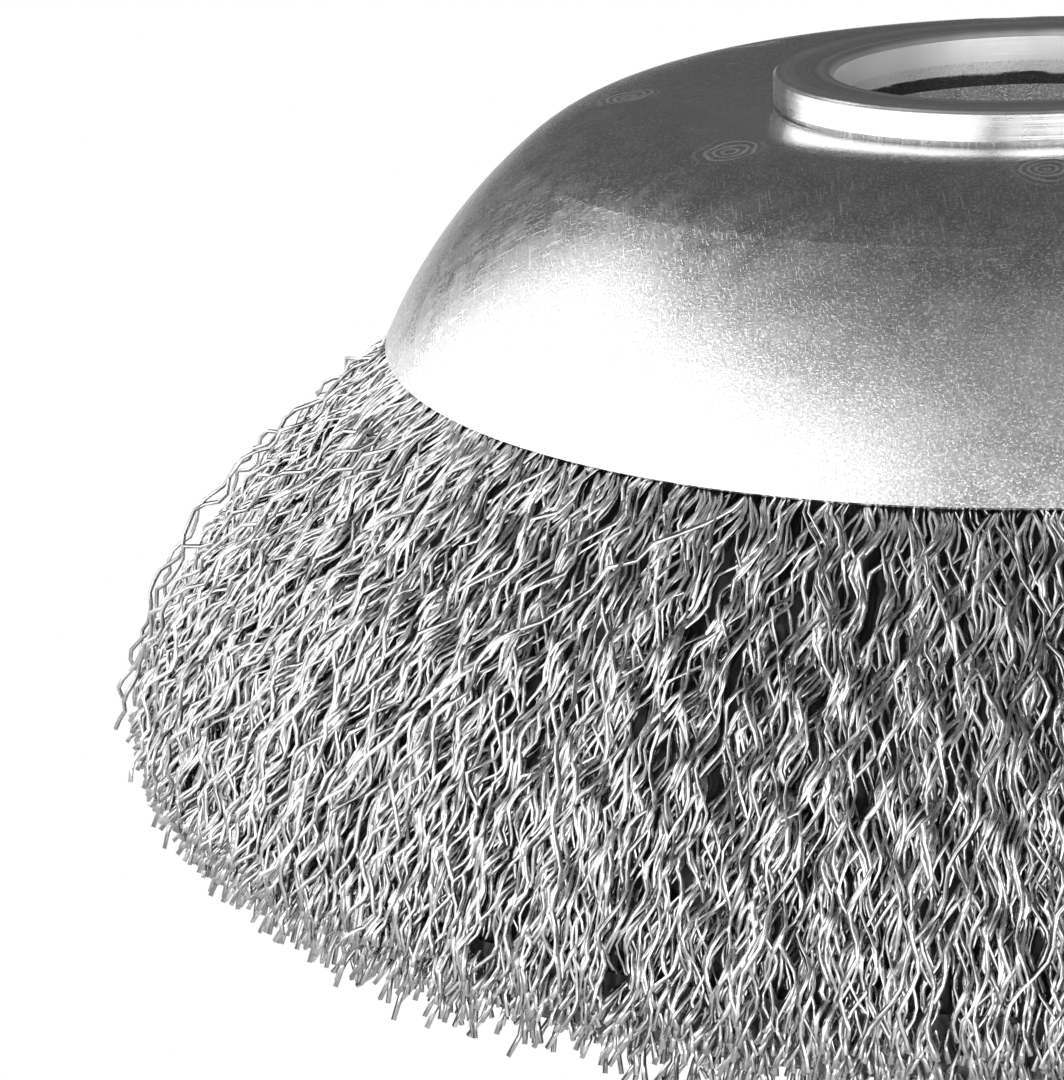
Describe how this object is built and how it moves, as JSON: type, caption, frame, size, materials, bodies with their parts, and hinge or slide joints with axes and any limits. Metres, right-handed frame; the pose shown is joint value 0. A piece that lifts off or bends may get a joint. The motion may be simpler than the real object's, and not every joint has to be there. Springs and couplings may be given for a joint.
{
  "type": "brushcutter wire brush",
  "caption": "Bell-shaped crimped wire brush for a brushcutter: pressed steel cup with an arbor collar on its crown and a flared skirt of crimped steel wires below.",
  "frame": {"origin": "on the arbor axis, in the plane of the crown's seat that the collar sits on, inside the bore", "axes": "+Z along the arbor axis, from the wire tips towards the machine; X and Y across it"},
  "size_m": [0.1254, 0.1254, 0.047],
  "materials": {
    "turned_steel": "turned, fine concentric marks, bright zinc",
    "zinc_plated_sheet": "pressed sheet, bright zinc plated, fine mottled grain and scratches",
    "ring_steel": "drawn wire, plain",
    "crimped_wire": "bright drawn steel wire, crimped"
  },
  "bodies": {
    "root": {"arbor_collar": "turned_steel", "cup_shell": "zinc_plated_sheet", "clamp_plate": "zinc_plated_sheet", "fold_ring": "ring_steel", "wire_fill": "crimped_wire"}
  },
  "joints": []
}
